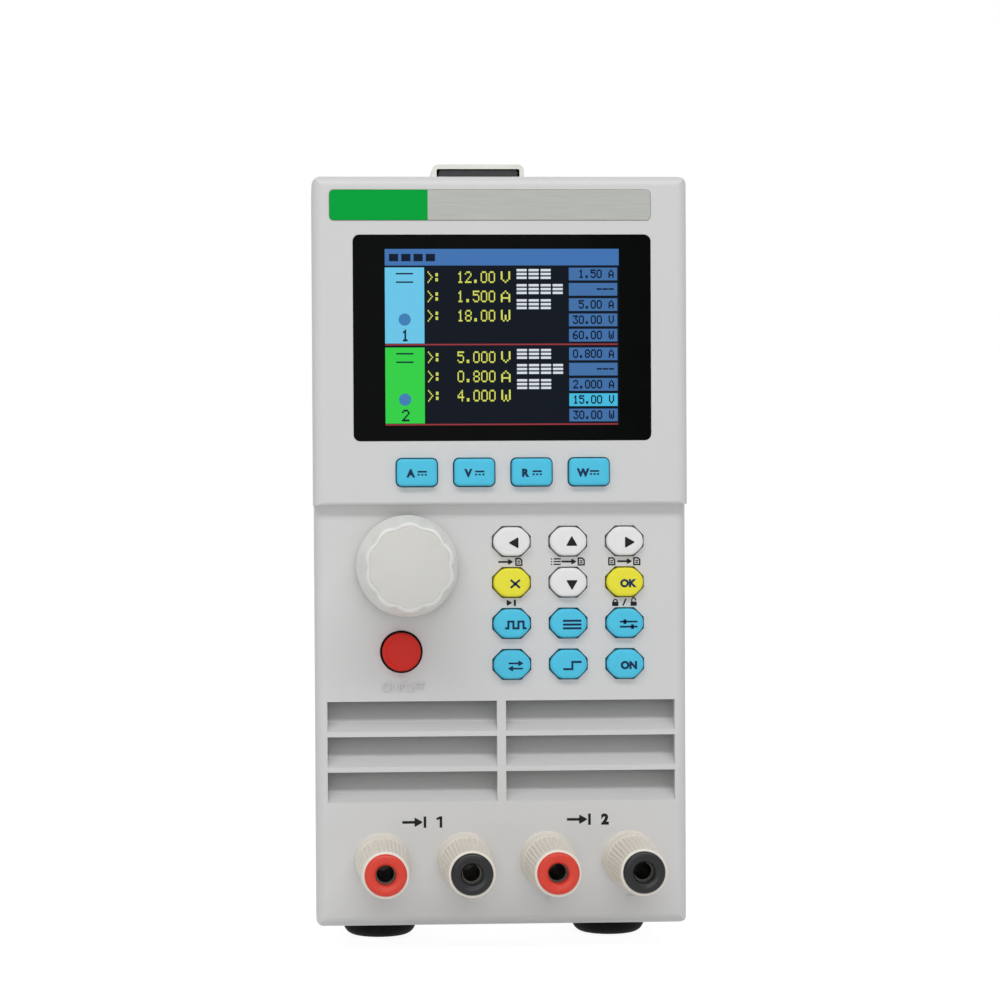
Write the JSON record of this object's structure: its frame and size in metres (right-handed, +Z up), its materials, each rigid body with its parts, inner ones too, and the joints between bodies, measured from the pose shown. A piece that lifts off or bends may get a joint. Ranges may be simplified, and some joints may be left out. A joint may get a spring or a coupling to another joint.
{
  "type": "dc electronic load",
  "caption": "Tall, narrow bench instrument that draws a set current from sources on its binding posts, with a display, keys, a push-and-turn knob, front louvres, a rear fan and a strap handle",
  "frame": {"origin": "on the floor, below the middle of the whole part's box", "axes": "+Z up, front panel faces -Y, +X to the right of someone facing the front"},
  "size_m": [0.089, 0.3024, 0.1967],
  "materials": {
    "front_bezel": "fine moulded texture",
    "nameplate": "satin film with a green end",
    "screen_window": "clear front with a black printed border",
    "lcd_module": "satin",
    "front_board": "solder mask",
    "tact_switches": "satin",
    "encoder_body": "plated",
    "encoder_rotor": "satin",
    "encoder_shaft": "turned",
    "knob": "milky and glossy",
    "power_switch": "satin",
    "power_button": "semi-gloss",
    "soft_keys": "semi-gloss",
    "blue_keys": "semi-gloss",
    "white_keys": "semi-gloss",
    "yellow_keys": "semi-gloss",
    "post_studs": "turned",
    "post_insulators": "cream, satin",
    "post_nuts": "cream, ridged",
    "red_rings": "glossy",
    "black_rings": "glossy",
    "post_washers": "plated",
    "post_rear_nuts": "plated",
    "chassis": "galvanised",
    "top_cover": "fine powder coat",
    "rear_panel": "fine powder coat",
    "case_screws": "plated",
    "feet": "matt",
    "handle_caps": "polished",
    "strap": "fine grain",
    "fan": "satin",
    "fan_guard": "plated wire",
    "heatsinks": "extruded",
    "mosfets": "moulded",
    "power_board": "solder mask",
    "transformer": "varnished",
    "iec_inlet": "satin",
    "serial_port": "plated"
  },
  "bodies": {
    "instrument": {"front_bezel": "front_bezel", "nameplate": "nameplate", "screen_window": "screen_window", "lcd_module": "lcd_module", "front_board": "front_board", "tact_switches": "tact_switches", "encoder_body": "encoder_body", "power_switch": "power_switch", "post_studs": "post_studs", "post_insulators": "post_insulators", "post_rear_nuts": "post_rear_nuts", "chassis": "chassis", "top_cover": "top_cover", "rear_panel": "rear_panel", "case_screws": "case_screws", "feet": "feet", "handle_caps": "handle_caps", "strap_flex": "strap", "fan_frame": "fan", "fan_guard": "fan_guard", "heatsinks": "heatsinks", "mosfets": "mosfets", "power_board": "power_board", "transformer": "transformer", "iec_inlet": "iec_inlet", "serial_port": "serial_port"},
    "soft_key_1_cap": {"soft_key_1": "soft_keys"},
    "soft_key_2_cap": {"soft_key_2": "soft_keys"},
    "soft_key_3_cap": {"soft_key_3": "soft_keys"},
    "soft_key_4_cap": {"soft_key_4": "soft_keys"},
    "key_left_cap": {"key_left": "white_keys"},
    "key_up_cap": {"key_up": "white_keys"},
    "key_right_cap": {"key_right": "white_keys"},
    "key_cancel_cap": {"key_cancel": "yellow_keys"},
    "key_down_cap": {"key_down": "white_keys"},
    "key_confirm_cap": {"key_confirm": "yellow_keys"},
    "key_mode_cap": {"key_mode": "blue_keys"},
    "key_menu_cap": {"key_menu": "blue_keys"},
    "key_setup_cap": {"key_setup": "blue_keys"},
    "key_channel_cap": {"key_channel": "blue_keys"},
    "key_trigger_cap": {"key_trigger": "blue_keys"},
    "key_load_on_cap": {"key_load_on": "blue_keys"},
    "encoder_wheel": {"encoder_rotor": "encoder_rotor"},
    "knob_assembly": {"knob": "knob", "encoder_shaft": "encoder_shaft"},
    "power_cap": {"power_button": "power_button"},
    "post_1_washer": {"post_washer_1": "post_washers"},
    "post_1_nut": {"post_nut_1": "post_nuts", "post_ring_1": "red_rings"},
    "post_2_washer": {"post_washer_2": "post_washers"},
    "post_2_nut": {"post_nut_2": "post_nuts", "post_ring_2": "black_rings"},
    "post_3_washer": {"post_washer_3": "post_washers"},
    "post_3_nut": {"post_nut_3": "post_nuts", "post_ring_3": "red_rings"},
    "post_4_washer": {"post_washer_4": "post_washers"},
    "post_4_nut": {"post_nut_4": "post_nuts", "post_ring_4": "black_rings"},
    "fan_wheel": {"fan_rotor": "fan"},
    "strap": {"strap_grip": "strap"}
  },
  "joints": [
    {"name": "soft_key_1_press", "type": "slide", "parent": "instrument", "child": "soft_key_1_cap", "axis": [0, 1, 0], "range_m": [0, 0.0006], "stiffness_N_per_m": 400},
    {"name": "soft_key_2_press", "type": "slide", "parent": "instrument", "child": "soft_key_2_cap", "axis": [0, 1, 0], "range_m": [0, 0.0006], "stiffness_N_per_m": 400},
    {"name": "soft_key_3_press", "type": "slide", "parent": "instrument", "child": "soft_key_3_cap", "axis": [0, 1, 0], "range_m": [0, 0.0006], "stiffness_N_per_m": 400},
    {"name": "soft_key_4_press", "type": "slide", "parent": "instrument", "child": "soft_key_4_cap", "axis": [0, 1, 0], "range_m": [0, 0.0006], "stiffness_N_per_m": 400},
    {"name": "key_left_press", "type": "slide", "parent": "instrument", "child": "key_left_cap", "axis": [0, 1, 0], "range_m": [0, 0.0006], "stiffness_N_per_m": 400},
    {"name": "key_up_press", "type": "slide", "parent": "instrument", "child": "key_up_cap", "axis": [0, 1, 0], "range_m": [0, 0.0006], "stiffness_N_per_m": 400},
    {"name": "key_right_press", "type": "slide", "parent": "instrument", "child": "key_right_cap", "axis": [0, 1, 0], "range_m": [0, 0.0006], "stiffness_N_per_m": 400},
    {"name": "key_cancel_press", "type": "slide", "parent": "instrument", "child": "key_cancel_cap", "axis": [0, 1, 0], "range_m": [0, 0.0006], "stiffness_N_per_m": 400},
    {"name": "key_down_press", "type": "slide", "parent": "instrument", "child": "key_down_cap", "axis": [0, 1, 0], "range_m": [0, 0.0006], "stiffness_N_per_m": 400},
    {"name": "key_confirm_press", "type": "slide", "parent": "instrument", "child": "key_confirm_cap", "axis": [0, 1, 0], "range_m": [0, 0.0006], "stiffness_N_per_m": 400},
    {"name": "key_mode_press", "type": "slide", "parent": "instrument", "child": "key_mode_cap", "axis": [0, 1, 0], "range_m": [0, 0.0006], "stiffness_N_per_m": 400},
    {"name": "key_menu_press", "type": "slide", "parent": "instrument", "child": "key_menu_cap", "axis": [0, 1, 0], "range_m": [0, 0.0006], "stiffness_N_per_m": 400},
    {"name": "key_setup_press", "type": "slide", "parent": "instrument", "child": "key_setup_cap", "axis": [0, 1, 0], "range_m": [0, 0.0006], "stiffness_N_per_m": 400},
    {"name": "key_channel_press", "type": "slide", "parent": "instrument", "child": "key_channel_cap", "axis": [0, 1, 0], "range_m": [0, 0.0006], "stiffness_N_per_m": 400},
    {"name": "key_trigger_press", "type": "slide", "parent": "instrument", "child": "key_trigger_cap", "axis": [0, 1, 0], "range_m": [0, 0.0006], "stiffness_N_per_m": 400},
    {"name": "key_load_on_press", "type": "slide", "parent": "instrument", "child": "key_load_on_cap", "axis": [0, 1, 0], "range_m": [0, 0.0006], "stiffness_N_per_m": 400},
    {"name": "knob_turn", "type": "hinge", "parent": "instrument", "child": "encoder_wheel", "pos_m": [-0.0224, -0.11415, 0.0918], "axis": [0, -1, 0], "continuous": true},
    {"name": "knob_push", "type": "slide", "parent": "encoder_wheel", "child": "knob_assembly", "axis": [0, 1, 0], "range_m": [0, 0.0005], "stiffness_N_per_m": 2000},
    {"name": "power_press", "type": "slide", "parent": "instrument", "child": "power_cap", "axis": [0, 1, 0], "range_m": [-0.0018, 0.0007]},
    {"name": "post_1_travel", "type": "slide", "parent": "instrument", "child": "post_1_washer", "axis": [0, -1, 0], "range_m": [0, 0.006]},
    {"name": "post_1_turn", "type": "hinge", "parent": "post_1_washer", "child": "post_1_nut", "pos_m": [-0.02865, -0.13115, 0.0219], "axis": [0, -1, 0], "range_deg": [0, 2160]},
    {"name": "post_2_travel", "type": "slide", "parent": "instrument", "child": "post_2_washer", "axis": [0, -1, 0], "range_m": [0, 0.006]},
    {"name": "post_2_turn", "type": "hinge", "parent": "post_2_washer", "child": "post_2_nut", "pos_m": [-0.00895, -0.13115, 0.0219], "axis": [0, -1, 0], "range_deg": [0, 2160]},
    {"name": "post_3_travel", "type": "slide", "parent": "instrument", "child": "post_3_washer", "axis": [0, -1, 0], "range_m": [0, 0.006]},
    {"name": "post_3_turn", "type": "hinge", "parent": "post_3_washer", "child": "post_3_nut", "pos_m": [0.01075, -0.13115, 0.0219], "axis": [0, -1, 0], "range_deg": [0, 2160]},
    {"name": "post_4_travel", "type": "slide", "parent": "instrument", "child": "post_4_washer", "axis": [0, -1, 0], "range_m": [0, 0.006]},
    {"name": "post_4_turn", "type": "hinge", "parent": "post_4_washer", "child": "post_4_nut", "pos_m": [0.03045, -0.13115, 0.0219], "axis": [0, -1, 0], "range_deg": [0, 2160]},
    {"name": "fan_spin", "type": "hinge", "parent": "instrument", "child": "fan_wheel", "pos_m": [0, 0.13035, 0.0575], "axis": [0, 1, 0], "continuous": true},
    {"name": "handle_lift", "type": "slide", "parent": "instrument", "child": "strap", "axis": [0, 0, 1], "range_m": [0, 0.018], "deforming": ["strap_flex"]}
  ],
  "couplings": [
    {"joint": "post_1_turn", "follows": "post_1_travel", "rad_per_m": 6283.2},
    {"joint": "post_2_turn", "follows": "post_2_travel", "rad_per_m": 6283.2},
    {"joint": "post_3_turn", "follows": "post_3_travel", "rad_per_m": 6283.2},
    {"joint": "post_4_turn", "follows": "post_4_travel", "rad_per_m": 6283.2}
  ]
}
